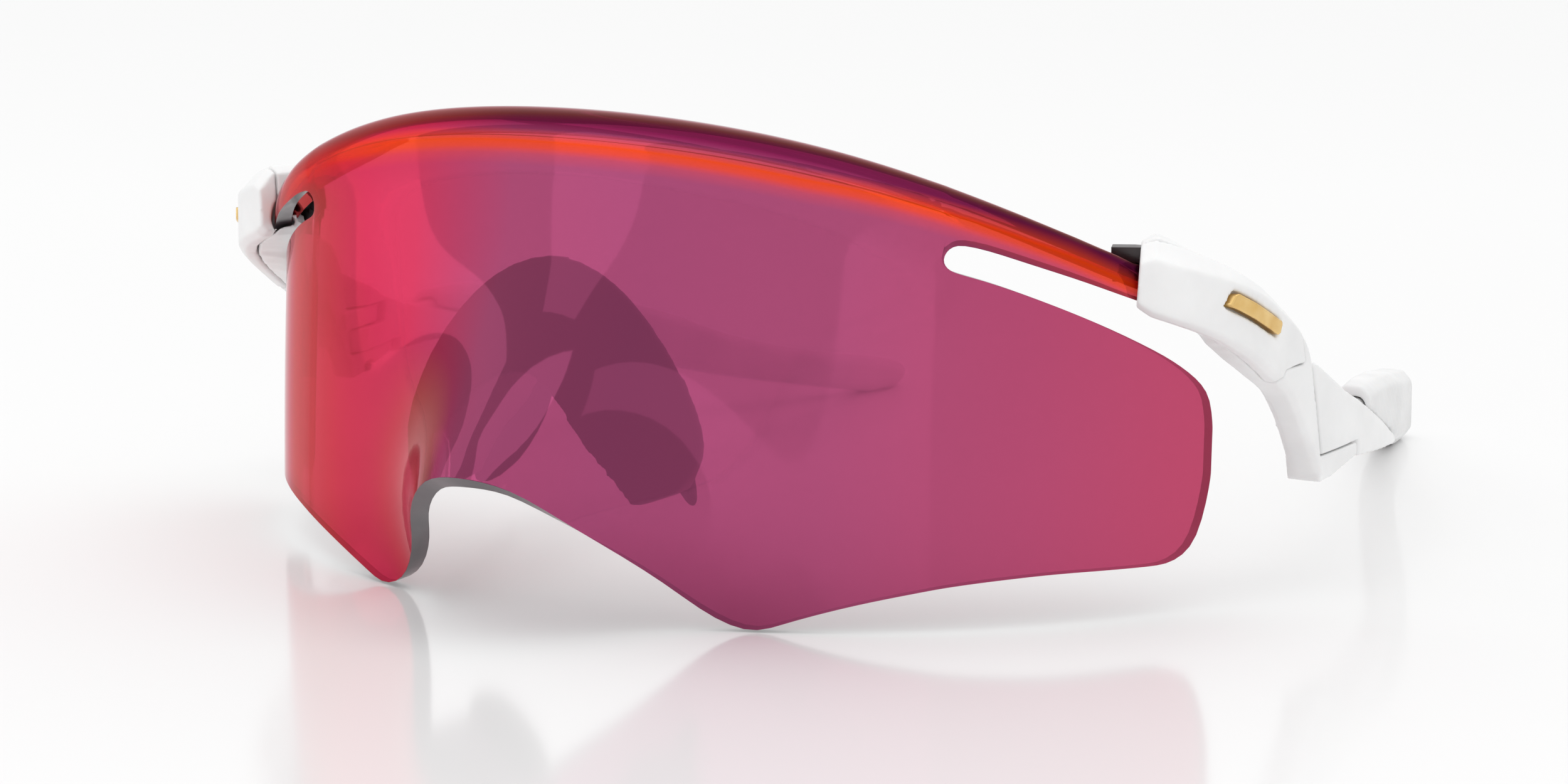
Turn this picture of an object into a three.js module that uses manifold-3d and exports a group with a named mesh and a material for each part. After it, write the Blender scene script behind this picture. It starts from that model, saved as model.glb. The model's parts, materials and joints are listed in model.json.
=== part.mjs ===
import * as THREE from "three";
import { mergeVertices } from "three/addons/utils/BufferGeometryUtils.js";
import Module from "manifold-3d";

const wasm = await Module();
wasm.setup();

// Wraparound sport sunglasses, in millimetres: +X is the wearer's left, +Y runs back along the
// arms, +Z is up. The lens stands on its two lower lobes and the arms rest on their tips.

// Lens shield
const lensThickness = 2;
const baseCurve = 66.9;
const lensLean = 0.076;
const lensBow = 0.0012;
const leanHeight = 30;
const sideRelief = 1.07;
const reliefFullAt = 60;
const noseReach = 14;
const wingHalfWidth = 61.3;
const stripHalfWidth = 57.5;
const slotHalfWidth = 40.8;
const slotHeight = 40.2;
const seamArch = 1.2;

// Temple block, hinge and arm
const clearance = 0.3;
const slotMargin = 0.42;
const coverThickness = 2;
const hingeX = 64.6;
const hingeY = 57.5;
const footTop = 15.2;
const footRadius = 6.1;
const lugRadius = 1.55;
const lugBottom = 18.6;
const lugTop = 21;
const hingeScrewRadius = 0.7;
const hingeHeadRadius = 1.25;
const rootThickness = 5;
const tipFlatHeight = 0;

// A smooth curve through [t, value] pairs that never overshoots them.
function curveThrough(pairs) {
  const last = pairs.length - 1;
  const rise = [];
  for (let i = 0; i < last; i++) {
    rise.push((pairs[i + 1][1] - pairs[i][1]) / (pairs[i + 1][0] - pairs[i][0]));
  }
  const slope = pairs.map((pair, i) => {
    if (i === 0) return rise[0];
    if (i === last) return rise[last - 1];
    const product = rise[i - 1] * rise[i];
    return product <= 0 ? 0 : (2 * product) / (rise[i - 1] + rise[i]);
  });
  return (t) => {
    const at = Math.min(Math.max(t, pairs[0][0]), pairs[last][0]);
    let i = 0;
    while (i < last - 1 && at > pairs[i + 1][0]) i++;
    const width = pairs[i + 1][0] - pairs[i][0];
    const s = (at - pairs[i][0]) / width;
    const a = pairs[i][1] * (1 + 2 * s) * (1 - s) ** 2;
    const b = slope[i] * width * s * (1 - s) ** 2;
    const c = pairs[i + 1][1] * s * s * (3 - 2 * s);
    const d = slope[i + 1] * width * s * s * (s - 1);
    return a + b + c + d;
  };
}

function geometryOf(points, triangles) {
  const geometry = new THREE.BufferGeometry();
  geometry.setAttribute("position", new THREE.Float32BufferAttribute(points.flat(), 3));
  geometry.setIndex(triangles.flat());
  return geometry;
}

function solidOf(geometry) {
  const plain = geometry.clone();
  plain.deleteAttribute("normal");
  plain.deleteAttribute("uv");
  const merged = mergeVertices(plain, 1e-4);
  const source = merged.index.array;
  const kept = [];
  for (let i = 0; i < source.length; i += 3) {
    const [a, b, c] = [source[i], source[i + 1], source[i + 2]];
    if (a !== b && b !== c && a !== c) kept.push(a, b, c);
  }
  const mesh = new wasm.Mesh({
    numProp: 3,
    vertProperties: merged.attributes.position.array,
    triVerts: new Uint32Array(kept),
  });
  return new wasm.Manifold(mesh);
}

function geometryFrom(solid) {
  const mesh = solid.getMesh();
  const geometry = new THREE.BufferGeometry();
  geometry.setAttribute("position", new THREE.BufferAttribute(mesh.vertProperties, 3));
  geometry.setIndex(new THREE.BufferAttribute(mesh.triVerts, 1));
  return geometry;
}

// Closed skin over rings with equal numbers of points; the end rings are capped.
function loft(rings) {
  const count = rings[0].length;
  const points = rings.flat();
  const triangles = [];
  for (let r = 0; r < rings.length - 1; r++) {
    for (let i = 0; i < count; i++) {
      const a = r * count + i;
      const b = r * count + ((i + 1) % count);
      triangles.push([a, b, b + count], [a, b + count, a + count]);
    }
  }
  for (const [ring, turned] of [[0, true], [rings.length - 1, false]]) {
    const middle = [0, 1, 2].map((k) => rings[ring].reduce((sum, p) => sum + p[k], 0) / count);
    points.push(middle);
    const centre = points.length - 1;
    for (let i = 0; i < count; i++) {
      const a = ring * count + i;
      const b = ring * count + ((i + 1) % count);
      triangles.push(turned ? [centre, b, a] : [centre, a, b]);
    }
  }
  return facedOut(points, triangles);
}

function facedOut(points, triangles) {
  let volume = 0;
  for (const [a, b, c] of triangles) {
    const [p, q, r] = [a, b, c].map((k) => new THREE.Vector3(...points[k]));
    volume += p.dot(q.cross(r));
  }
  const faces = volume < 0 ? triangles.map(([a, b, c]) => [a, c, b]) : triangles;
  return geometryOf(points, faces);
}

// Prism of a [y, z] outline, from x0 to x1.
function sidePrism(outline, x0, x1) {
  const shape = new THREE.Shape(outline.map(([y, z]) => new THREE.Vector2(y, z)));
  const prism = new THREE.ExtrudeGeometry(shape, { depth: x1 - x0, bevelEnabled: false });
  const turn = new THREE.Matrix4().set(0, 0, 1, x0, 1, 0, 0, 0, 0, 1, 0, 0, 0, 0, 0, 1);
  return solidOf(prism.applyMatrix4(turn));
}

// Prism of an [x, y] outline, from z0 to z1.
function planPrism(outline, z0, z1) {
  const shape = new THREE.Shape(outline.map(([x, y]) => new THREE.Vector2(x, y)));
  const prism = new THREE.ExtrudeGeometry(shape, { depth: z1 - z0, bevelEnabled: false });
  return solidOf(prism.translate(0, 0, z0));
}

function uprightCylinder(radius, z0, z1, x = hingeX, y = hingeY) {
  const cylinder = new THREE.CylinderGeometry(radius, radius, z1 - z0, radius > 3 ? 32 : 12);
  cylinder.rotateX(Math.PI / 2).translate(x, y, (z0 + z1) / 2);
  return solidOf(cylinder);
}

// ---- Lens shield: a cylinder-like sheet with a nose bulge and a folded brow flange ----

const noseBulge = curveThrough([
  [1, 0], [3.5, 9], [6, 12.5], [10, 17.8], [12.5, 19], [18, 16.5], [24, 11], [30, 6], [36, 2.5],
  [42, 0.5], [46, 0],
]);
const lowEdge = curveThrough([
  [0, 18], [3, 17.7], [6, 16.6], [8.5, 14.6], [11, 12], [16, 6], [18, 3.6], [20.5, 1.2], [24, 0],
  [28, 1.4], [36, 3.7], [45, 5.4], [52, 5.9], [58.5, 5.8], [59.6, 6.4], [60.5, 8], [61, 11],
  [61.3, 15],
]);
const slotLow = curveThrough([
  [40.8, 40.2], [41, 39.5], [41.6, 38.9], [44, 38], [48.5, 35.8], [52.3, 33.5], [55.4, 31.2],
  [58, 28.8], [60, 26.2], [61.1, 23.5], [61.3, 20.5],
]);
const slotHigh = curveThrough([
  [40.8, 40.2], [41, 41], [41.5, 41.6], [42.3, 41.8], [44, 41.3], [47.3, 39.8], [51.7, 37.6],
  [57.5, 33.9],
]);
// The brow falls away from its crown as a parabola, and faster towards the strip's ends.
const browCrown = 51.8;
const browFall = 10.43;
const browTurn = 6.47;
const browLine = (x) => browCrown - browFall * (x / stripHalfWidth) ** 2 - browTurn * (x / stripHalfWidth) ** 4;
const flangeReach = curveThrough([[0, 1], [40, 0.95], [57.5, 0.36]]);
const browSection = [
  [0.5, 0.5], [0.2, 1.3], [-0.6, 2.1], [-1.8, 2.7], [-3.4, 2.95], [-6, 2.7], [-8.5, 2.2],
];
const endFlare = curveThrough([[0, 0], [30, 0], [45, 0.7], [57.5, 1.1]]);

function sheetY(x, z) {
  const dome = baseCurve - Math.sqrt(baseCurve ** 2 - x * x) - sideRelief * (x / reliefFullAt) ** 4;
  const lean = lensLean * (z - leanHeight) + lensBow * (z - leanHeight) ** 2;
  return dome + lean - noseBulge(z) * Math.exp(-((x / noseReach) ** 2));
}

// The sheet's back, straight behind a point of its front.
function sheetBackY(x, z) {
  const across = sheetY(x + 0.5, z) - sheetY(x - 0.5, z);
  const up = sheetY(x, z + 0.5) - sheetY(x, z - 0.5);
  return sheetY(x, z) + lensThickness * Math.hypot(1, across, up);
}

// Point on the sheet's front, moved outward by `out` along the plan normal.
function sheetPoint(x, z, out = 0) {
  const s = x / baseCurve;
  return [x + out * s, sheetY(x, z) - out * Math.sqrt(1 - s * s), z];
}

function browPoint(x, out, rise) {
  const reach = out < 0 ? out * flangeReach(Math.abs(x)) : out;
  const [px, py] = sheetPoint(x, browLine(Math.abs(x)), reach + endFlare(Math.abs(x)));
  return [px, py, browLine(Math.abs(x)) + rise];
}

// The face swells a little where it rolls over into the brow fold.
const rollBelow = 0.4;
const rollSwell = 0.6;
const rollWidth = 1.8;
const flareDepth = 6;

function facePoint(x, z) {
  const below = z - browLine(Math.abs(x)) + rollBelow;
  const lift = THREE.MathUtils.smoothstep(below, -flareDepth, 0);
  return sheetPoint(x, z, rollSwell * Math.exp(-((below / rollWidth) ** 2)) + lift * endFlare(Math.abs(x)));
}

function middleHeight(x) {
  return slotHeight + seamArch * (1 - (x / slotHalfWidth) ** 2);
}

// Gives a sheet its thickness: its front, its back and a wall round each free edge.
function thickened(points, triangles, thickness, front = 0) {
  const sheet = mergeVertices(geometryOf(points, triangles), 1e-4);
  const index = sheet.index.array;
  const kept = [];
  for (let i = 0; i < index.length; i += 3) {
    const [a, b, c] = [index[i], index[i + 1], index[i + 2]];
    if (a !== b && b !== c && a !== c) kept.push([a, b, c]);
  }
  sheet.setIndex(kept.flat());
  sheet.computeVertexNormals();
  const { position, normal } = sheet.attributes;
  const layer = (depth) => {
    const out = [];
    for (let i = 0; i < position.count; i++) {
      const p = new THREE.Vector3().fromBufferAttribute(position, i);
      out.push(p.addScaledVector(new THREE.Vector3().fromBufferAttribute(normal, i), -depth).toArray());
    }
    return out;
  };
  const count = position.count;
  const faces = kept.map((t) => [...t]);
  const edges = new Set();
  for (const [a, b, c] of kept) {
    faces.push([a + count, c + count, b + count]);
    for (const [p, q] of [[a, b], [b, c], [c, a]]) edges.add(p + "," + q);
  }
  for (const edge of edges) {
    const [p, q] = edge.split(",").map(Number);
    if (!edges.has(q + "," + p)) faces.push([q, p, p + count], [q, p + count, q + count]);
  }
  return facedOut([...layer(front), ...layer(front + thickness)], faces);
}

function gridTriangles(points, triangles, rows) {
  const start = points.length;
  const width = rows[0].length;
  for (const row of rows) points.push(...row);
  for (let r = 0; r < rows.length - 1; r++) {
    for (let i = 0; i < width - 1; i++) {
      const a = start + r * width + i;
      triangles.push([a, a + 1, a + width + 1], [a, a + width + 1, a + width]);
    }
  }
}

function spread(from, to, steps, ease) {
  const out = [];
  for (let i = 1; i <= steps; i++) out.push(from + (to - from) * ease(i / steps));
  return out;
}

const lensColumns = (() => {
  const half = [
    0,
    ...spread(0, slotHalfWidth, 15, (s) => s),
    41, 41.5, 42.3,
    ...spread(42.3, stripHalfWidth, 7, (s) => s),
    ...spread(stripHalfWidth, wingHalfWidth, 5, (s) => Math.sin((s * Math.PI) / 2)),
  ];
  return [...half.slice(1).map((x) => -x).reverse(), ...half];
})();

function stripRows(columns, extra = 0) {
  const rows = [];
  const floor = (x) => {
    const a = Math.abs(x);
    return (a <= slotHalfWidth ? middleHeight(a) : slotHigh(a)) - extra;
  };
  for (let k = 0; k <= 3; k++) {
    rows.push(columns.map((x) => facePoint(x, floor(x) + ((browLine(Math.abs(x)) - floor(x)) * k) / 3)));
  }
  for (const [out, rise] of browSection) rows.push(columns.map((x) => browPoint(x, out, rise)));
  return rows;
}

function lensGeometry() {
  const points = [];
  const triangles = [];
  const lowerRows = [];
  for (let k = 0; k <= 10; k++) {
    lowerRows.push(lensColumns.map((x) => {
      const a = Math.abs(x);
      const top = a <= slotHalfWidth ? middleHeight(a) : slotLow(a);
      const low = lowEdge(a);
      return facePoint(x, low + ((top - low) * k) / 10);
    }));
  }
  gridTriangles(points, triangles, lowerRows);
  gridTriangles(points, triangles, stripRows(lensColumns.filter((x) => Math.abs(x) <= stripHalfWidth)));
  return thickened(points, triangles, lensThickness);
}

// The end of the upper strip, a little larger all round: the room it takes inside a block.
function stripRoom() {
  const points = [];
  const triangles = [];
  const columns = spread(49, stripHalfWidth + 0.5, 11, (s) => s);
  const rows = stripRows(columns, slotMargin);
  const tail = rows[rows.length - 1].map(([x, y, z], i) => {
    const [a, b] = rows[rows.length - 2][i];
    const length = Math.hypot(x - a, y - b);
    return [x + ((x - a) * slotMargin) / length, y + ((y - b) * slotMargin) / length, z];
  });
  gridTriangles(points, triangles, [...rows, tail]);
  return solidOf(thickened(points, triangles, lensThickness + 2 * slotMargin, -slotMargin));
}

// ---- Temple block (wearer's left; the right one is its mirror image) ----

const outerWall = curveThrough([
  [16, 30], [24.5, 52], [26.6, 57], [27.9, 59.5], [29.4, 62], [31.3, 64.2], [33.8, 66], [37, 67],
  [42, 67.5], [48, 67.7], [54, 67.8], [62, 67.6], [74, 65.8],
]);

// Point at the given y on the outer wall, moved inward by `depth` along the wall's normal.
function wallPoint(y, depth) {
  const slope = outerWall(y + 0.5) - outerWall(y - 0.5);
  const length = Math.hypot(1, slope);
  return [outerWall(y) - depth / length, y + (depth * slope) / length];
}

function bandPrism(depth0, depth1, y0, y1, z0, z1) {
  const steps = Math.round((y1 - y0) / 2.5);
  const outer = [];
  const inner = [];
  for (let i = 0; i <= steps; i++) {
    const y = y0 + ((y1 - y0) * i) / steps;
    outer.push(wallPoint(y, depth0));
    inner.push(wallPoint(y, depth1));
  }
  return planPrism([...outer, ...inner.reverse()], z0, z1);
}

// Stations along the block: top [y, z], bottom [y, z], depth, top chamfer.
const blockStations = [
  { top: [27.9, 42], bottom: [27.6, 33.6], depth: 6.5, chamfer: 2.2 },
  { top: [29.4, 40.9], bottom: [29, 32.7], depth: 6.8, chamfer: 2 },
  { top: [31.6, 39.7], bottom: [31, 31.6], depth: 7, chamfer: 1.7 },
  { top: [35.6, 37.8], bottom: [34.4, 29.7], depth: 6.4, chamfer: 1.4 },
  { top: [39.6, 35.8], bottom: [38, 27.7], depth: 5.8, chamfer: 1.2 },
  { top: [43.4, 33.4], bottom: [41.8, 25.4], depth: 5.1, chamfer: 1.1 },
  { top: [46.4, 31.4], bottom: [45, 23.4], depth: 4.6, chamfer: 1 },
  { top: [48.4, 29.8], bottom: [47.6, 20.5], depth: 4.2, chamfer: 1 },
  { top: [49.3, 28.4], bottom: [50, 17.2], depth: 4, chamfer: 0.9 },
  { top: [49.9, 26.9], bottom: [53.4, 12.2], depth: 4, chamfer: 0.8 },
];

function blockRing({ top, bottom, depth, chamfer }) {
  const height = Math.hypot(top[0] - bottom[0], top[1] - bottom[1]);
  const at = (up, inward) => {
    const y = bottom[0] + ((top[0] - bottom[0]) * up) / height;
    const [px, py] = wallPoint(y, inward);
    return [px, py, bottom[1] + ((top[1] - bottom[1]) * up) / height];
  };
  return [
    at(height, chamfer), at(height - chamfer, 0), at(0.8, 0), at(0, 0.8),
    at(0, depth - 0.9), at(0.9, depth), at(height - 1, depth), at(height, depth - 1),
  ];
}

// The stations with smooth steps between them.
function smoothStations(steps) {
  const along = (pick) => curveThrough(blockStations.map((station, i) => [i, pick(station)]));
  const topY = along((s) => s.top[0]);
  const topZ = along((s) => s.top[1]);
  const bottomY = along((s) => s.bottom[0]);
  const bottomZ = along((s) => s.bottom[1]);
  const depth = along((s) => s.depth);
  const chamfer = along((s) => s.chamfer);
  const out = [];
  for (let k = 0; k <= (blockStations.length - 1) * steps; k++) {
    const t = k / steps;
    const [top, bottom] = [[topY(t), topZ(t)], [bottomY(t), bottomZ(t)]];
    out.push({ top, bottom, depth: depth(t), chamfer: chamfer(t) });
  }
  return out;
}

function blockBody() {
  const body = solidOf(loft(smoothStations(2).map(blockRing)));
  const nose = loft([
    blockRing(blockStations[0]),
    blockRing({ top: [27.1, 41.2], bottom: [26.9, 34.6], depth: 5.9, chamfer: 1.8 }),
  ]);
  const footOutline = [[53, 12.3], [56, 12.5], [64, 14], [64, footTop], [52.3, footTop]];
  const foot = sidePrism(footOutline, hingeX - 1.1, hingeX + 3)
    .intersect(uprightCylinder(footRadius, 10, footTop + 1));
  const web = planPrism([[63.2, 50.2], [65.8, 50], [65.8, hingeY], [63.2, hingeY]], lugBottom, lugTop);
  const lug = uprightCylinder(lugRadius, lugBottom, lugTop);
  return body.add(solidOf(nose)).add(foot).add(web).add(lug);
}

// The cover's reach in side view: it ends in a stepped joint line ahead of the hinge leg.
function coverOutline(gap) {
  return [
    [10, 20], [41.4 + gap, 20], [42.4 + gap, 25.2], [43.5 + gap, 26.4], [48.2 + gap, 26.6 - gap],
    [47.4 + gap, 29.2], [47.4 + gap, 45], [10, 45],
  ];
}

const badgeCentre = [37.3, 33.3];
const badgeAngle = -0.47;
const badgeHalfLength = 4.6;
const badgeHalfHeight = 0.8;
const badgeCorner = 0.25;
const badgeProud = 0.45;
const badgeSunk = 0.6;

// Plain solid bar with its four corners cut off.
function badgeOutline(gap) {
  const long = badgeHalfLength + gap;
  const tall = badgeHalfHeight + gap;
  const cutLong = long - badgeCorner;
  const cutTall = tall - badgeCorner;
  const corners = [
    [long, -cutTall], [long, cutTall], [cutLong, tall], [-cutLong, tall], [-long, cutTall],
    [-long, -cutTall], [-cutLong, -tall], [cutLong, -tall],
  ];
  return corners.map(([u, v]) => [
    badgeCentre[0] + u * Math.cos(badgeAngle) - v * Math.sin(badgeAngle),
    badgeCentre[1] + u * Math.sin(badgeAngle) + v * Math.cos(badgeAngle),
  ]);
}

const anchorLow = 33.2;
const anchorHigh = 40.4;
const anchorFrom = 25.6;
const anchorTo = 34;
const anchorFloor = 5.2;
const anchorScrewY = 30.4;
const anchorShankRadius = 0.45;
const anchorHeadRadius = 0.85;
const anchorScrewHeights = { upper: 36.9, lower: 34.4 };

// Cylinder whose axis is the wall's normal at y; depths are measured inward from the wall.
function wallCylinder(y, z, radius, depth0, depth1) {
  const [x0, y0] = wallPoint(y, depth0);
  const [x1, y1] = wallPoint(y, depth1);
  const cylinder = new THREE.CylinderGeometry(radius, radius, depth1 - depth0, 12);
  cylinder.rotateX(Math.PI / 2);
  cylinder.lookAt(new THREE.Vector3(x1 - x0, y1 - y0, 0));
  return solidOf(cylinder.translate((x0 + x1) / 2, (y0 + y1) / 2, z));
}

function anchorScrew(z, gap) {
  const shank = wallCylinder(anchorScrewY, z, anchorShankRadius + gap, 4, 7.4);
  const head = wallCylinder(anchorScrewY, z, anchorHeadRadius + gap, 7.3 - gap, 8 + gap);
  return shank.add(head);
}

const room = stripRoom();
const wholeBlock = blockBody();
const coverZone = (gap) =>
  sidePrism(coverOutline(gap), 40, 75).intersect(bandPrism(-4, coverThickness + gap, 21, 60, 18, 46));
const anchorZone = (gap) => {
  const outline = [
    [20, 36.8 - gap], [33.6 - gap, 36.8 - gap], [34.6 - gap, anchorLow - gap], [41, anchorLow - gap],
    [41, 33.3 + gap], [33.6 + gap, anchorHigh + gap], [20, anchorHigh + gap],
  ];
  const band = bandPrism(anchorFloor - gap, 7.5 + 3 * gap, anchorFrom - gap, anchorTo + gap, 30, 44);
  return band.intersect(sidePrism(outline, 45, 70));
};

function hingeBores(radius) {
  const headBore = uprightCylinder(hingeHeadRadius + clearance, 11, 13.4 + clearance);
  return uprightCylinder(radius, 11, 24).add(headBore);
}

function blockGeometry() {
  let block = wholeBlock.subtract(coverZone(clearance)).subtract(room).subtract(anchorZone(clearance));
  for (const z of Object.values(anchorScrewHeights)) block = block.subtract(anchorScrew(z, clearance));
  return geometryFrom(block.subtract(hingeBores(hingeScrewRadius + clearance)));
}

function coverGeometry() {
  const recess = sidePrism(badgeOutline(clearance), 50, 75).intersect(bandPrism(-3, 0.9, 24, 56, 18, 46));
  return geometryFrom(wholeBlock.intersect(coverZone(0)).subtract(room).subtract(recess));
}

function badgeGeometry() {
  const plate = sidePrism(badgeOutline(0), 50, 75).intersect(bandPrism(-badgeProud, badgeSunk, 24, 56, 18, 46));
  return geometryFrom(plate);
}

function anchorGeometry() {
  let anchor = anchorZone(0).subtract(room);
  for (const z of Object.values(anchorScrewHeights)) anchor = anchor.subtract(anchorScrew(z, clearance));
  return geometryFrom(anchor);
}

function hingeScrewGeometry() {
  const outline = [
    [0, 12.5], [hingeHeadRadius, 12.5], [hingeHeadRadius, 13.3], [hingeScrewRadius, 13.3],
    [hingeScrewRadius, 21.6], [0, 21.6],
  ];
  const screw = new THREE.LatheGeometry(outline.map(([r, z]) => new THREE.Vector2(r, z)), 16);
  return geometryFrom(solidOf(screw.rotateX(Math.PI / 2).translate(hingeX, hingeY, 0)));
}

// ---- Arm: a wedge-shaped root at the hinge and a slim core that carries the sock ----

const armOuter = curveThrough([
  [56, 67.4], [66, 67], [74, 65.7], [82, 64], [90, 62.2], [98, 59.2], [107, 54.8], [118, 49],
  [130, 43.4], [140, 40.4], [146, 39.3],
]);
const sockDepth = curveThrough([[68, 4.4], [84, 5.2], [107, 5.3], [130, 4.7], [146, 4.2]]);
const sockTop = curveThrough([
  [68, 20.4], [78, 20.2], [86, 19.3], [98, 17.4], [107, 14.4], [118, 9.6], [130, 6.5], [140, 4.7],
  [145, 3.4],
]);
const sockLow = curveThrough([
  [68, 12.9], [78, 11.8], [90, 10.6], [98, 9.4], [107, 7.2], [118, 4.2], [130, 1.7], [138, tipFlatHeight],
  [143, tipFlatHeight], [145, 0.9],
]);

// Chamfered section across the arm at the given y.
function armSection(y, outer, depth, low, high, chamfer) {
  const inner = outer - depth;
  return [
    [outer - chamfer, y, high], [outer, y, high - chamfer], [outer, y, low + chamfer],
    [outer - chamfer, y, low], [inner + chamfer, y, low], [inner, y, low + chamfer],
    [inner, y, high - chamfer], [inner + chamfer, y, high],
  ];
}

const coreStart = 61;
const coreEnd = 126;

function coreLoft(gap) {
  const rings = [];
  for (const y of [coreStart, 68, 76, 84, 92, 100, 108, 117, coreEnd + gap]) {
    const low = sockLow(Math.max(y, 68)) + 1.7 - gap;
    const high = sockTop(Math.max(y, 68)) - 1.7 + gap;
    rings.push(armSection(y, armOuter(y) - 1.5 + gap, 2.2 + 2 * gap, low, high, 0.5));
  }
  return solidOf(loft(rings));
}

function rootSolid() {
  const side = [
    [53.3, 15.5], [50.7, 26.2], [59.3, 21.6], [82, 12.6], [82.4, 11.7], [64, 13.6], [64, 15.5],
  ];
  const plan = [
    [65.6, 50.4], [67.5, 50.4], [67.7, 56], [67.5, 62], [66.9, 67], [65.7, 74], [63.7, 82.5], [59.4, 82.5],
    [61.2, 74], [62.3, 66], [62.7, 62], [62.7, 55.4], [63.4, 54.3],
  ];
  return sidePrism(side, 55, 72).intersect(planPrism(plan, 8, 30));
}

function armGeometry() {
  const slot = planPrism(
    [[55, 45], [hingeX + 1.9, 45], [hingeX + 1.9, hingeY + 1.9], [55, hingeY + 1.9]],
    lugBottom - clearance,
    lugTop + clearance,
  );
  const arm = rootSolid()
    .add(coreLoft(0))
    .subtract(uprightCylinder(footRadius + 0.4, 8, footTop + clearance))
    .subtract(slot)
    .subtract(uprightCylinder(hingeScrewRadius + clearance, 10, 22));
  return geometryFrom(arm);
}

function sockGeometry() {
  const rings = [];
  for (const y of [70, 76, 82, 88, 94, 101, 108, 115, 123, 131, 138, 143]) {
    rings.push(armSection(y, armOuter(y) - (y < 80 ? 0.4 : 0), sockDepth(y), sockLow(y), sockTop(y), 1.2));
  }
  rings.push(armSection(145, armOuter(145) - 0.7, sockDepth(145) - 1.4, 0.7, 3.2, 0.8));
  const whole = solidOf(loft(rings));
  const underRoot = sidePrism([[60, 5], [82.8, 5], [82.8, 12.7], [59, 22.2]], 50, 75);
  return geometryFrom(whole.subtract(coreLoft(clearance)).subtract(underRoot));
}

// ---- Nose unit: a saddle behind the lens that carries two soft pads ----

function saddlePoint(turn, share, back) {
  const outer = [
    [16.2, 15], [18.2, 19.5], [15.8, 26.5], [11.4, 32.8], [6.2, 37.2], [0, 39],
  ];
  const inner = [
    [13, 13.6], [10.6, 17.5], [7.6, 21.3], [4.8, 24.6], [2.2, 26.5], [0, 27],
  ];
  const at = (outline) => {
    const farSide = outline.slice(0, -1).reverse().map(([x, z]) => [-x, z]);
    const path = new THREE.SplineCurve([...outline, ...farSide].map(([x, z]) => new THREE.Vector2(x, z)));
    return path.getPoint(turn);
  };
  const p = at(inner).lerp(at(outer), share);
  const frontY = sheetBackY(p.x, p.y) + 0.6;
  const backY = Math.max(frontY + 1.3, saddleBack(p.y) - 5 * share);
  return [p.x, back ? backY : frontY, p.y];
}

const saddleBack = curveThrough([[12, 8.5], [20, 8], [27, 6], [39, 4.6]]);

function saddleGeometry() {
  const rings = [];
  for (let i = 0; i <= 24; i++) {
    const ring = [];
    for (const share of [0, 0.33, 0.67, 1]) ring.push(saddlePoint(i / 24, share, false));
    for (const share of [1, 0.67, 0.33, 0]) ring.push(saddlePoint(i / 24, share, true));
    rings.push(ring);
  }
  return loft(rings);
}

// Soft pad: a flattened egg that faces the side of the nose.
const padHalfSize = [1.5, 4, 8.2];
const padCentre = [10.4, 8.2, 19.2];
const padTurn = { x: -0.15, y: -0.42, z: 0.55 };

function padSolid(grow) {
  const pad = new THREE.SphereGeometry(1, 16, 10);
  pad.scale(...padHalfSize.map((half) => half + grow));
  pad.rotateX(padTurn.x).rotateZ(padTurn.z).rotateY(padTurn.y);
  return solidOf(pad.translate(...padCentre));
}

function mirrored(solidGeometry) {
  const twin = solidGeometry.clone();
  twin.scale(-1, 1, 1);
  const index = Array.from(twin.index.array);
  for (let i = 0; i < index.length; i += 3) {
    [index[i + 1], index[i + 2]] = [index[i + 2], index[i + 1]];
  }
  twin.setIndex(index);
  return twin;
}

function saddleWithSeats() {
  const seat = padSolid(clearance);
  const otherSeat = solidOf(mirrored(geometryFrom(seat)));
  return geometryFrom(solidOf(saddleGeometry()).subtract(seat).subtract(otherSeat));
}

// ---- Assembly ----

const nylon = new THREE.MeshStandardMaterial({ color: 0xf1f1f0, roughness: 0.38, metalness: 0 });
const sockRubber = new THREE.MeshStandardMaterial({ color: 0xe9e9e8, roughness: 0.6, metalness: 0 });
const mirrorLens = new THREE.MeshStandardMaterial({ color: 0xb5375f, roughness: 0.08, metalness: 0.6 });
const gold = new THREE.MeshStandardMaterial({ color: 0xd9b36a, roughness: 0.25, metalness: 1 });
const darkNylon = new THREE.MeshStandardMaterial({ color: 0x2a1418, roughness: 0.45, metalness: 0 });
const steel = new THREE.MeshStandardMaterial({ color: 0x9a9a9c, roughness: 0.3, metalness: 1 });
const padRubber = new THREE.MeshStandardMaterial({ color: 0x5b1020, roughness: 0.7, metalness: 0 });

function mesh(name, geometry, material, parent) {
  const item = new THREE.Mesh(geometry, material);
  item.name = name;
  parent.add(item);
  return item;
}

const blockSet = [
  ["temple_block", blockGeometry(), nylon],
  ["block_cover", coverGeometry(), nylon],
  ["side_badge", badgeGeometry(), gold],
  ["lens_anchor", anchorGeometry(), darkNylon],
  ["anchor_screw_upper", geometryFrom(anchorScrew(anchorScrewHeights.upper, 0)), steel],
  ["anchor_screw_lower", geometryFrom(anchorScrew(anchorScrewHeights.lower, 0)), steel],
  ["hinge_screw", hingeScrewGeometry(), steel],
];
const armSet = [
  ["temple_arm", armGeometry(), nylon],
  ["ear_sock", sockGeometry(), sockRubber],
];
for (const [, geometry] of armSet) geometry.translate(-hingeX, -hingeY, 0);

const sunglasses = new THREE.Group();
mesh("lens_shield", lensGeometry(), mirrorLens, sunglasses);

const noseUnit = new THREE.Group();
mesh("nose_bridge", saddleWithSeats(), darkNylon, noseUnit);
mesh("nose_pad_left", geometryFrom(padSolid(0)), padRubber, noseUnit);
mesh("nose_pad_right", mirrored(geometryFrom(padSolid(0))), padRubber, noseUnit);
sunglasses.add(noseUnit);

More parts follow.
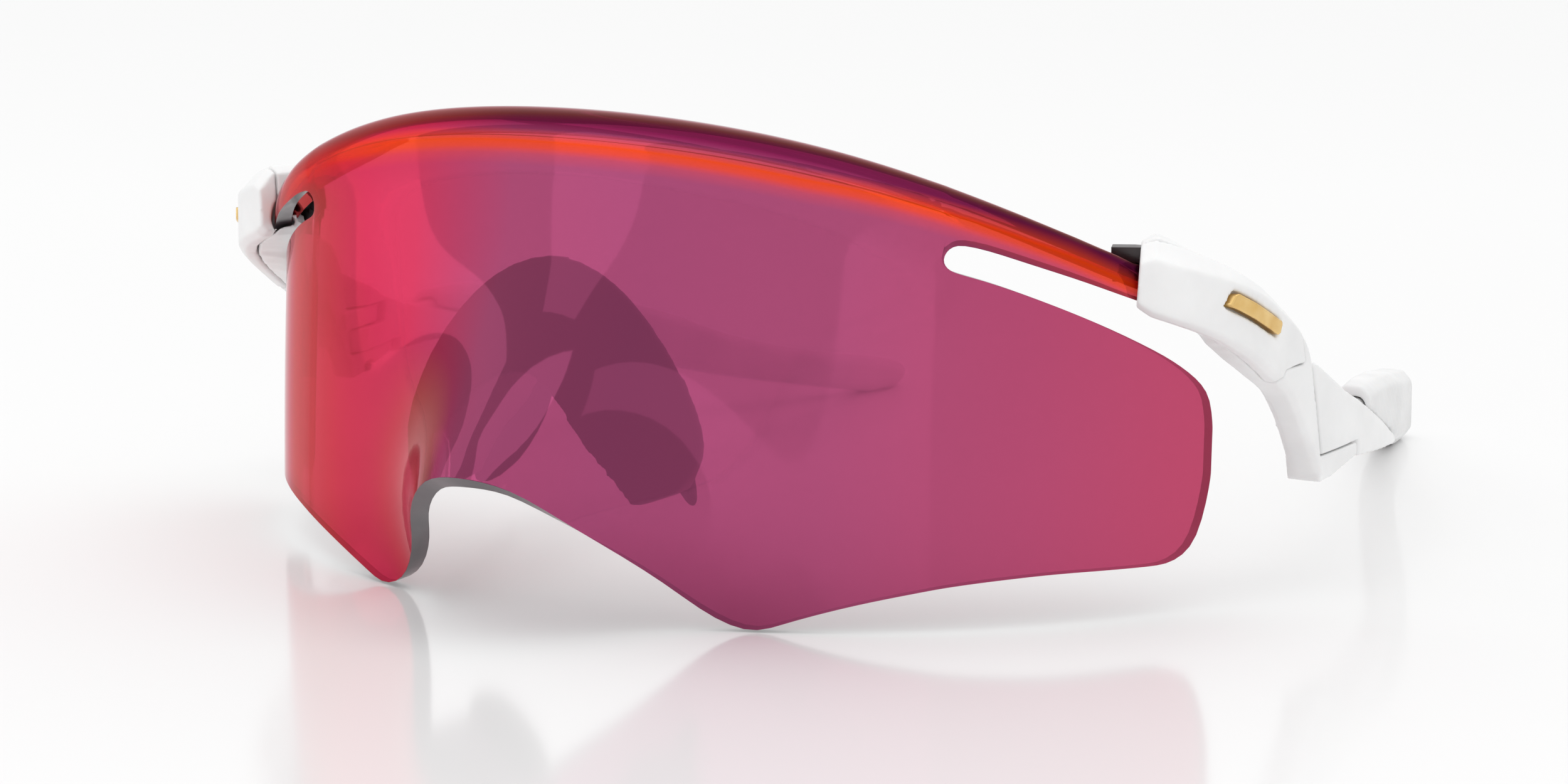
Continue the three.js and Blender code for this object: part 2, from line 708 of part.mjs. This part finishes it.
for (const [side, mirror] of [["left", 1], ["right", -1]]) {
  const half = new THREE.Group();
  half.scale.x = mirror;
  for (const [name, geometry, material] of blockSet) mesh(name + "_" + side, geometry, material, half);
  const swing = new THREE.Group();
  swing.position.set(hingeX, hingeY, 0);
  for (const [name, geometry, material] of armSet) mesh(name + "_" + side, geometry, material, swing);
  half.add(swing);
  sunglasses.add(half);
}

// The origin is under the middle of the whole object, on the surface it stands on.
const extent = new THREE.Box3().setFromObject(sunglasses, true);
sunglasses.position.set(0, -(extent.min.y + extent.max.y) / 2, -extent.min.z);

export default sunglasses;
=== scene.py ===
import json
import math

import bmesh
import bpy
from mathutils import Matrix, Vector


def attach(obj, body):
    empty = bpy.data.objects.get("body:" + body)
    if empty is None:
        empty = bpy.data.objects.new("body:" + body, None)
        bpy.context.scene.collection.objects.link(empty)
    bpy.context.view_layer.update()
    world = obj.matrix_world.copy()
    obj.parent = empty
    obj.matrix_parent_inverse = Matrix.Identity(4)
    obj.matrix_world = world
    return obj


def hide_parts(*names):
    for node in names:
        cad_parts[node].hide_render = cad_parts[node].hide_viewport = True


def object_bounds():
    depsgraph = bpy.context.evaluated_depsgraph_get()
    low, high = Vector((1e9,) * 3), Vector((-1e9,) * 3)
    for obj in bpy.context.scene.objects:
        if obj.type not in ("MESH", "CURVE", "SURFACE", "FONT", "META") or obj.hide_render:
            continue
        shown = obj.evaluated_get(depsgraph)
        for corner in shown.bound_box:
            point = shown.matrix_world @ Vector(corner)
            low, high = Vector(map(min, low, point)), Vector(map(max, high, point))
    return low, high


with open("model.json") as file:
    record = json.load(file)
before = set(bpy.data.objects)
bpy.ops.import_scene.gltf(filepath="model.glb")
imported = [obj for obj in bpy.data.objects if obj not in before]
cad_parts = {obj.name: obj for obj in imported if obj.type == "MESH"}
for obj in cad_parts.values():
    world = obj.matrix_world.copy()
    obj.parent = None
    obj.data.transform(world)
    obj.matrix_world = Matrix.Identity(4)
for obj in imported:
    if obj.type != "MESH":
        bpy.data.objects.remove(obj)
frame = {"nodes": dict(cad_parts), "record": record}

cadLow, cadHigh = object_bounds()
mm = 0.001
record = frame["record"]
bodyOf = {node: body for body, nodes in record["behaviour"]["bodies"].items() for node in nodes}
print("frame loaded:", len(frame["nodes"]), "nodes")


def linear(hexColour):
    parts = [int(hexColour[i:i + 2], 16) / 255 for i in (1, 3, 5)]
    return [c / 12.92 if c <= 0.04045 else ((c + 0.055) / 1.055) ** 2.4 for c in parts] + [1]


def newMaterial(name):
    material = bpy.data.materials.new(name)
    material.use_nodes = True
    material.node_tree.nodes.clear()
    return material


# adds a node to a material: sockets take a value or the socket that feeds them
def addNode(owner, kind, inputs=None, stops=None, **settings):
    node = owner.node_tree.nodes.new(kind)
    for key, value in settings.items():
        setattr(node, key, value)
    if stops:
        ramp = node.color_ramp.elements
        ramp.remove(ramp[1])
        ramp[0].position = stops[0][0]
        for place, colour in stops[1:]:
            ramp.new(place)
        for element, (place, colour) in zip(ramp, stops):
            element.color = linear(colour) if isinstance(colour, str) else [colour] * 3 + [1]
    for key, value in (inputs or {}).items():
        if isinstance(value, bpy.types.NodeSocket):
            owner.node_tree.links.new(value, node.inputs[key])
        else:
            node.inputs[key].default_value = value
    return node


# Moulded plastic or rubber: faint mottling, a roughness that varies and a fine cast grain.
# grain is the size of the texture's grains in mm, drawn a little coarser than the real 0.1 mm.
def mouldedSurface(name, look):
    material = newMaterial(name)
    place = addNode(material, "ShaderNodeTexCoord").outputs["Object"]
    mottle = addNode(material, "ShaderNodeTexNoise", {
        "Vector": place, "Scale": 1 / (look["mottle"] * mm), "Detail": 3})
    colour = addNode(material, "ShaderNodeValToRGB", {"Fac": mottle.outputs["Fac"]},
                     stops=[(0.3, look["dark"]), (0.7, look["light"])])
    smear = addNode(material, "ShaderNodeTexNoise", {"Vector": place, "Scale": 1 / (1.8 * mm), "Detail": 4})
    rough = addNode(material, "ShaderNodeMapRange", {
        "Value": smear.outputs["Fac"], "From Min": 0.3, "From Max": 0.7,
        "To Min": look["rough"][0], "To Max": look["rough"][1]})
    grain = addNode(material, "ShaderNodeTexNoise", {
        "Vector": place, "Scale": 1 / (look["grain"] * mm), "Detail": 2})
    bump = addNode(material, "ShaderNodeBump", {
        "Height": grain.outputs["Fac"], "Strength": look["depth"], "Distance": 0.05 * mm})
    shader = addNode(material, "ShaderNodeBsdfPrincipled", {
        "Base Color": colour.outputs["Color"], "Roughness": rough.outputs["Result"],
        "Normal": bump.outputs["Normal"], "IOR": look["ior"], "Subsurface Weight": look["glow"],
        "Subsurface Radius": (1 * mm, 0.8 * mm, 0.7 * mm),
        "Coat Weight": look["coat"], "Coat Roughness": 0.25})
    addNode(material, "ShaderNodeOutputMaterial", {"Surface": shader.outputs["BSDF"]})
    return material


# Cast metal under a thin clear plating: colour drifts a little, with fine polishing marks.
def platedMetal(name, look):
    material = newMaterial(name)
    place = addNode(material, "ShaderNodeTexCoord").outputs["Object"]
    drift = addNode(material, "ShaderNodeTexNoise", {"Vector": place, "Scale": 1 / (2.5 * mm), "Detail": 2})
    colour = addNode(material, "ShaderNodeValToRGB", {"Fac": drift.outputs["Fac"]},
                     stops=[(0.3, look["dark"]), (0.7, look["light"])])
    turned = addNode(material, "ShaderNodeMapping", {
        "Vector": place, "Rotation": look["turn"], "Scale": look["stretch"]})
    marks = addNode(material, "ShaderNodeTexNoise", {
        "Vector": turned.outputs["Vector"], "Scale": 1 / (0.6 * mm), "Detail": 3})
    rough = addNode(material, "ShaderNodeMapRange", {
        "Value": marks.outputs["Fac"], "From Min": 0.25, "From Max": 0.75,
        "To Min": look["rough"][0], "To Max": look["rough"][1]})
    bump = addNode(material, "ShaderNodeBump", {
        "Height": marks.outputs["Fac"], "Strength": 0.12, "Distance": 0.02 * mm})
    shader = addNode(material, "ShaderNodeBsdfPrincipled", {
        "Base Color": colour.outputs["Color"], "Metallic": 1.0, "Roughness": rough.outputs["Result"],
        "Normal": bump.outputs["Normal"]})
    addNode(material, "ShaderNodeOutputMaterial", {"Surface": shader.outputs["BSDF"]})
    return material


# Injection moulded nylon, satin white: a soft gloss that breaks up over a very fine spark texture
whiteNylon = mouldedSurface("moulded nylon white", {
    "light": "#F7F7F7", "dark": "#EFEFEF", "mottle": 6, "rough": (0.3, 0.42), "grain": 0.28, "depth": 0.22,
    "ior": 1.53, "glow": 0.08, "coat": 0.15})
# Soft elastomer over the arm ends: matter than the nylon and a shade greyer
sockRubber = mouldedSurface("moulded elastomer white", {
    "light": "#F3F3F3", "dark": "#E9E9E9", "mottle": 5, "rough": (0.5, 0.64), "grain": 0.35, "depth": 0.3,
    "ior": 1.5, "glow": 0.1, "coat": 0.0})
# Dark nylon brackets: near black with a red cast
darkNylon = mouldedSurface("moulded nylon dark", {
    "light": "#2B0E14", "dark": "#1A070B", "mottle": 4, "rough": (0.28, 0.42), "grain": 0.3, "depth": 0.25,
    "ior": 1.53, "glow": 0.0, "coat": 0.2})
# The nose unit's carrier: deep plum nylon
plumNylon = mouldedSurface("moulded nylon plum", {
    "light": "#5A1240", "dark": "#450C31", "mottle": 5, "rough": (0.34, 0.46), "grain": 0.3, "depth": 0.25,
    "ior": 1.53, "glow": 0.0, "coat": 0.1})
# Soft pads that grip the nose: dull, slightly see-through elastomer
padRubber = mouldedSurface("moulded elastomer plum", {
    "light": "#24021A", "dark": "#160110", "mottle": 4, "rough": (0.55, 0.7), "grain": 0.4, "depth": 0.4,
    "ior": 1.5, "glow": 0.15, "coat": 0.0})
# The lens's sawn and polished rim: tinted polycarbonate seen through its thickness
lensRim = mouldedSurface("polycarbonate cut edge", {
    "light": "#4A4046", "dark": "#332A30", "mottle": 7, "rough": (0.16, 0.26), "grain": 0.5, "depth": 0.1,
    "ior": 1.58, "glow": 0.0, "coat": 0.3})
# Plated gold-coloured zinc trim bars, polished along their length
goldPlate = platedMetal("gold plated zinc", {
    "light": "#EBCB8E", "dark": "#D8B06A", "rough": (0.14, 0.24),
    "turn": (0.47, 0, 0), "stretch": (1, 0.2, 1.4)})
# Stainless screws, turned
screwSteel = platedMetal("stainless steel turned", {
    "light": "#B9B9BC", "dark": "#98989B", "rough": (0.22, 0.36), "turn": (0, 0, 0), "stretch": (1, 1, 4)})

# Vacuum-deposited mirror on polycarbonate, its colours painted by position: the coating's angle-dependent
# sheen is painted across the lens, red at the wearer's right and magenta in the middle, with painted orange
# sheen at the wearer's right edge where the lens turns to a grazing angle, and a painted orange sheen band
# under the brow fold. The fold above it, facing up and back, is painted darker as shade.
mirrorLook = {
    # painted sheen: the face colours lay the coating's angle-dependent red-to-magenta sheen across X, and
    # the first stops are painted orange grazing sheen at the edge
    "face": [(0.0, "#F0501E"), (0.012, "#EE4C22"), (0.035, "#E0304A"), (0.2, "#DC2E50"), (0.34, "#D23658"),
             (0.40, "#BE4369"), (0.46, "#AC5078"), (0.6, "#A44E78"), (0.75, "#A85078"), (0.9, "#B44E72"),
             (1.0, "#C04C6A")],
    # painted shade: darker colours for the brow fold, which faces up and back
    "fold": [(0.0, "#D01030"), (0.3, "#B80C34"), (0.46, "#7E0C44"), (1.0, "#700A48")],
    # painted sheen: where the orange sheen band lies by height under the brow line, and its orange colour
    "band": [(0.0, 0.0), (0.42, 0.0), (0.52, 0.3), (0.58, 0.85), (0.64, 1.0), (0.69, 0.6), (0.75, 0.0)],
    "bandColour": linear("#FF4E0E"),
    # how far above the brow line the fold's painted shade takes over
    "foldShadeEdge": [(0.0, 0.0), (0.72, 0.0), (0.8, 0.85), (0.86, 1.0)],
    "halfWidth": 61.3, "riseFrom": -8, "riseTo": 4,
    "metallic": 0.5, "roughness": 0.045, "ior": 1.3, "grazing": linear("#E8486C")}


def mirrorFilm(name, look):
    material = newMaterial(name)
    place = addNode(material, "ShaderNodeTexCoord").outputs["Object"]
    axes = addNode(material, "ShaderNodeSeparateXYZ", {"Vector": place})
    wave = addNode(material, "ShaderNodeTexNoise", {"Vector": place, "Scale": 1 / (30 * mm), "Detail": 1})
    waved = addNode(material, "ShaderNodeMath", {0: wave.outputs["Fac"], 1: 4 * mm, 2: axes.outputs["X"]},
                    operation="MULTIPLY_ADD")
    across = addNode(material, "ShaderNodeMapRange", {
        "Value": waved.outputs["Value"], "From Min": (2 - look["halfWidth"]) * mm,
        "From Max": (2 + look["halfWidth"]) * mm})
    # the painted face sheen across X, and the colours of the fold's painted shade
    face = addNode(material, "ShaderNodeValToRGB", {"Fac": across.outputs["Result"]}, stops=look["face"])
    fold = addNode(material, "ShaderNodeValToRGB", {"Fac": across.outputs["Result"]}, stops=look["fold"])
    heights = []
    for attribute in ("bandRise", "browRise"):
        rise = addNode(material, "ShaderNodeAttribute", attribute_name=attribute).outputs["Fac"]
        heights.append(addNode(material, "ShaderNodeMapRange", {
            "Value": rise, "From Min": look["riseFrom"], "From Max": look["riseTo"]}).outputs["Result"])
    # masks by height: the painted orange sheen band, then the painted shade of the fold
    band = addNode(material, "ShaderNodeValToRGB", {"Fac": heights[0]}, stops=look["band"])
    above = addNode(material, "ShaderNodeValToRGB", {"Fac": heights[1]}, stops=look["foldShadeEdge"])
    # lays the fold's painted shade over the painted face sheen
    foldShaded = addNode(material, "ShaderNodeMix", {
        0: above.outputs["Color"], 6: face.outputs["Color"], 7: fold.outputs["Color"]}, data_type="RGBA")
    # lays the painted orange sheen band over the lens colour
    banded = addNode(material, "ShaderNodeMix", {
        0: band.outputs["Color"], 6: foldShaded.outputs[2], 7: look["bandColour"]}, data_type="RGBA")
    haze = addNode(material, "ShaderNodeTexNoise", {"Vector": place, "Scale": 1 / (9 * mm), "Detail": 4})
    rough = addNode(material, "ShaderNodeMapRange", {
        "Value": haze.outputs["Fac"], "From Min": 0.3, "From Max": 0.7, "To Min": look["roughness"] * 0.8,
        "To Max": look["roughness"] * 1.3})
    shader = addNode(material, "ShaderNodeBsdfPrincipled", {
        "Base Color": banded.outputs[2], "Metallic": look["metallic"], "Roughness": rough.outputs["Result"],
        "IOR": look["ior"], "Transmission Weight": 1.0, "Specular Tint": look["grazing"]})
    addNode(material, "ShaderNodeOutputMaterial", {"Surface": shader.outputs["BSDF"]})
    return material


mirrorCoat = mirrorFilm("mirror coated polycarbonate", mirrorLook)


# The lens's inner skin: clear polished polycarbonate with a rose dye
def dyedPolycarbonate(name):
    material = newMaterial(name)
    place = addNode(material, "ShaderNodeTexCoord").outputs["Object"]
    dye = addNode(material, "ShaderNodeTexNoise", {"Vector": place, "Scale": 1 / (40 * mm), "Detail": 1})
    colour = addNode(material, "ShaderNodeValToRGB", {"Fac": dye.outputs["Fac"]},
                     stops=[(0.3, "#A83E64"), (0.7, "#B84A72")])
    shader = addNode(material, "ShaderNodeBsdfPrincipled", {
        "Base Color": colour.outputs["Color"], "Roughness": 0.03, "IOR": 1.3, "Transmission Weight": 1.0})
    addNode(material, "ShaderNodeOutputMaterial", {"Surface": shader.outputs["BSDF"]})
    return material


lensDye = dyedPolycarbonate("dyed polycarbonate")
print("materials made")


def selectOnly(piece):
    bpy.ops.object.select_all(action="DESELECT")
    bpy.context.view_layer.objects.active = piece
    piece.select_set(True)


def applyModifier(piece, kind, **settings):
    selectOnly(piece)
    modifier = piece.modifiers.new(kind.title(), kind)
    for key, value in settings.items():
        setattr(modifier, key, value)
    bpy.ops.object.modifier_apply(modifier=modifier.name)


def copyOf(node, name):
    piece = bpy.data.objects.new(name, frame["nodes"][node].data.copy())
    bpy.context.scene.collection.objects.link(piece)
    selectOnly(piece)
    bpy.ops.mesh.customdata_custom_splitnormals_clear()
    bpy.ops.object.mode_set(mode="EDIT")
    bpy.ops.mesh.select_all(action="SELECT")
    bpy.ops.mesh.remove_doubles(threshold=0.002 * mm)
    bpy.ops.object.mode_set(mode="OBJECT")
    return piece


def finishPiece(piece, node, materials):
    piece.data.materials.clear()
    for material in materials:
        piece.data.materials.append(material)
    selectOnly(piece)
    bpy.ops.object.shade_smooth()
    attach(piece, bodyOf[node])
    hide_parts(node)


# A moulded part: its solid is rebuilt in an even skin and its edges are softened
def mouldedPiece(node, look, materials):
    piece = copyOf(node, node + "_moulded")
    applyModifier(piece, "REMESH", mode="VOXEL", voxel_size=look["skin"] * mm, use_smooth_shade=True)
    applyModifier(piece, "SMOOTH", factor=0.5, iterations=look["soften"])
    if "swell" in look:
        applyModifier(piece, "DISPLACE", strength=look["swell"] * mm, mid_level=0)
    finishPiece(piece, node, materials)
    return piece


# Height of the brow fold's line above the ground at a place across the lens, in mm
def browLine(x):
    share = x / brow["halfWidth"]
    return brow["crown"] - brow["fall"] * share ** 2 - brow["turn"] * share ** 4


brow = {"halfWidth": 57.5, "crown": 51.8, "fall": 10.43, "turn": 6.47}
lensLook = {
    "baseCurve": 66.9, "lean": 0.12, "rimAngle": 50, "skinArea": 2500, "rimBevel": 0.22, "bevelSteps": 2,
    "bandClimb": 1.5, "climbFrom": 28, "climbOver": 24}


def buildLens():
    piece = copyOf("lens_shield", "lens_shield_coated")
    bpy.ops.object.mode_set(mode="EDIT")
    bpy.ops.mesh.select_all(action="SELECT")
    bpy.ops.mesh.tris_convert_to_quads(face_threshold=math.radians(40), shape_threshold=math.radians(60))
    bpy.ops.object.mode_set(mode="OBJECT")
    # the skins are the large areas inside the sharp edges; what is left is the cut rim
    mesh = bmesh.new()
    mesh.from_mesh(piece.data)
    limit = math.radians(lensLook["rimAngle"])
    sharp = {e.index for e in mesh.edges if len(e.link_faces) != 2 or e.calc_face_angle(0) > limit}
    area = {}
    seen = {}
    for start in mesh.faces:
        if start.index in seen:
            continue
        heap, members = [start], []
        seen[start.index] = start.index
        while heap:
            face = heap.pop()
            members.append(face)
            for edge in face.edges:
                if edge.index in sharp:
                    continue
                for other in edge.link_faces:
                    if other.index not in seen:
                        seen[other.index] = start.index
                        heap.append(other)
        area[start.index] = sum(f.calc_area() for f in members) / mm ** 2
    for face in mesh.faces:
        group = seen[face.index]
        middle = face.calc_center_median() / mm
        if area[group] < lensLook["skinArea"]:
            face.material_index = 2
        else:
            turned = middle.x / lensLook["baseCurve"]
            outward = Vector((turned, -math.sqrt(max(0.0, 1 - turned ** 2)), lensLook["lean"]))
            face.material_index = 0 if face.normal.dot(outward) > 0 else 1
    mesh.to_mesh(piece.data)
    mesh.free()
    print("lens skins:", sorted(round(a) for a in area.values())[-6:])
    applyModifier(piece, "BEVEL", width=lensLook["rimBevel"] * mm, segments=lensLook["bevelSteps"],
                  limit_method="ANGLE", angle_limit=limit)
    applyModifier(piece, "SUBSURF", levels=1, render_levels=1)
    # heights above the brow line, which place the painted fold shade, and above the painted orange sheen
    # band's line, which climbs a little at the sides
    places = [vertex.co / mm for vertex in piece.data.vertices]
    shares = [(abs(p.x) - lensLook["climbFrom"]) / lensLook["climbOver"] for p in places]
    climbs = [lensLook["bandClimb"] * min(1, max(0, share)) for share in shares]
    rises = [p.z - browLine(p.x) for p in places]
    for name, values in (("browRise", rises), ("bandRise", [r - c for r, c in zip(rises, climbs)])):
        piece.data.attributes.new(name, "FLOAT", "POINT").data.foreach_set("value", values)
    return piece


lens = buildLens()
kept = [p.material_index for p in lens.data.polygons]
finishPiece(lens, "lens_shield", [mirrorCoat, lensDye, lensRim])
lens.data.polygons.foreach_set("material_index", kept)
print("lens built")

noseLook = {"skin": 0.4, "soften": 12}
padLook = {"skin": 0.3, "soften": 6}
mouldedPiece("nose_bridge", noseLook, [plumNylon])
for side in ("left", "right"):
    mouldedPiece("nose_pad_" + side, padLook, [padRubber])
print("nose unit built")

blockLook = {"skin": 0.22, "soften": 6}
coverLook = {"skin": 0.18, "soften": 7, "swell": 0.08}
barLook = {"skin": 0.1, "soften": 5}
anchorLook = {"bevel": 0.25, "steps": 3, "edgeAngle": 35}
screwLook = {"bevel": 0.1, "steps": 2, "edgeAngle": 35}


def bevelledPiece(node, look, material):
    piece = copyOf(node, node + "_finished")
    applyModifier(piece, "BEVEL", width=look["bevel"] * mm, segments=look["steps"], limit_method="ANGLE",
                  angle_limit=math.radians(look["edgeAngle"]))
    finishPiece(piece, node, [material])
    selectOnly(piece)
    bpy.ops.object.shade_smooth_by_angle(angle=math.radians(look["edgeAngle"]))
    return piece


for side in ("left", "right"):
    mouldedPiece("temple_block_" + side, blockLook, [whiteNylon])
    mouldedPiece("block_cover_" + side, coverLook, [whiteNylon])
    mouldedPiece("side_badge_" + side, barLook, [goldPlate])
    bevelledPiece("lens_anchor_" + side, anchorLook, darkNylon)
    for node in ("anchor_screw_upper_", "anchor_screw_lower_", "hinge_screw_"):
        bevelledPiece(node + side, screwLook, screwSteel)
print("side blocks built")

armLook = {"skin": 0.22, "soften": 4, "swell": 0.12}
# contour ridges on the sock's outer side: they run down and forward, and fade out at each end
sockLook = {
    "skin": 0.3, "soften": 14, "length": 75, "ridgePitch": 1.5, "ridgeHeight": 0.16,
    "ridgeFrom": 9, "ridgeTo": 52, "fadeIn": 3, "fadeOut": 8, "slant": 0.75}


def raiseRidges(piece, look, outward):
    start = cadHigh.y / mm - look["length"]  # the sock's front end
    mesh = piece.data
    normals = [v.normal.copy() for v in mesh.vertices]
    for vertex, normal in zip(mesh.vertices, normals):
        along = vertex.co.y / mm - start
        facing = max(0.0, normal.x * outward)
        fade = min(1.0, max(0.0, (along - look["ridgeFrom"] + look["fadeIn"]) / look["fadeIn"]))
        fade *= min(1.0, max(0.0, (look["ridgeTo"] - along) / look["fadeOut"]))
        phase = (along + look["slant"] * vertex.co.z / mm) / look["ridgePitch"] * 2 * math.pi
        lift = look["ridgeHeight"] * (math.sin(phase) - 1) / 2 * fade * facing ** 0.5
        vertex.co += normal * lift * mm
    mesh.update()


for side, outward in (("left", 1), ("right", -1)):
    mouldedPiece("temple_arm_" + side, armLook, [whiteNylon])
    sock = mouldedPiece("ear_sock_" + side, sockLook, [sockRubber])
    raiseRidges(sock, sockLook, outward)
print("arms built")

stageLook = {"floorSize": 8, "floorColour": "#F4F4F4", "worldLight": 0.93, "worldColour": "#FFFFFF"}

bpy.ops.object.select_all(action="DESELECT")
bpy.ops.mesh.primitive_plane_add(size=stageLook["floorSize"], location=(0, 0, 0))
floor = bpy.context.object
floor.name = "studio_floor"
floorPaint = newMaterial("lacquered board")
floorPlace = addNode(floorPaint, "ShaderNodeTexCoord").outputs["Object"]
floorHaze = addNode(floorPaint, "ShaderNodeTexNoise", {"Vector": floorPlace, "Scale": 14, "Detail": 3})
floorRough = addNode(floorPaint, "ShaderNodeMapRange", {
    "Value": floorHaze.outputs["Fac"], "To Min": 0.1, "To Max": 0.14})
floorShader = addNode(floorPaint, "ShaderNodeBsdfPrincipled", {
    "Base Color": linear(stageLook["floorColour"]), "Roughness": floorRough.outputs["Result"], "IOR": 1.35})
addNode(floorPaint, "ShaderNodeOutputMaterial", {"Surface": floorShader.outputs["BSDF"]})
floor.data.materials.append(floorPaint)

world = bpy.data.worlds.new("studio")
bpy.context.scene.world = world
world.use_nodes = True
world.node_tree.nodes["Background"].inputs["Color"].default_value = linear(stageLook["worldColour"])
world.node_tree.nodes["Background"].inputs["Strength"].default_value = stageLook["worldLight"]

# soft boxes: place, width, height and strength in watts, each aimed at the glasses
softBoxes = [
    {"place": (0.1, -0.1, 1.5), "width": 1.8, "height": 1.4, "power": 5},
    {"place": (-1.15, -0.3, 0.45), "width": 0.5, "height": 1.4, "power": 1.1},
    {"place": (-0.5, -1.25, 0.5), "width": 0.5, "height": 1.3, "power": 0.7},
    {"place": (0.75, -1.1, 0.5), "width": 0.4, "height": 1.2, "power": 0.4},
]
aim = Vector((0, -0.02, 0.025))
for number, box in enumerate(softBoxes):
    light = bpy.data.lights.new(f"soft_box_{number + 1}", "AREA")
    light.shape = "RECTANGLE"
    light.size, light.size_y, light.energy = box["width"], box["height"], box["power"]
    lamp = bpy.data.objects.new(light.name, light)
    bpy.context.scene.collection.objects.link(lamp)
    lamp.location = box["place"]
    lamp.rotation_euler = (aim - Vector(box["place"])).to_track_quat("-Z", "Y").to_euler()

cameraLook = {
    "azimuth": 30.465, "elevation": 10.085, "lens": 112.3, "sensor": 36,
    "place": (0.28597, -0.49932, 0.11706)}
camera = bpy.data.objects.new("camera", bpy.data.cameras.new("camera"))
bpy.context.scene.collection.objects.link(camera)
turn, tilt = math.radians(cameraLook["azimuth"]), math.radians(cameraLook["elevation"])
camera.location = cameraLook["place"]
camera.rotation_euler = (math.pi / 2 - tilt, 0, turn)
camera.data.lens = cameraLook["lens"]
camera.data.sensor_width = cameraLook["sensor"]
camera.data.clip_start = 0.01
bpy.context.scene.camera = camera
bpy.context.scene.view_settings.view_transform = "Standard"
print("stage set")
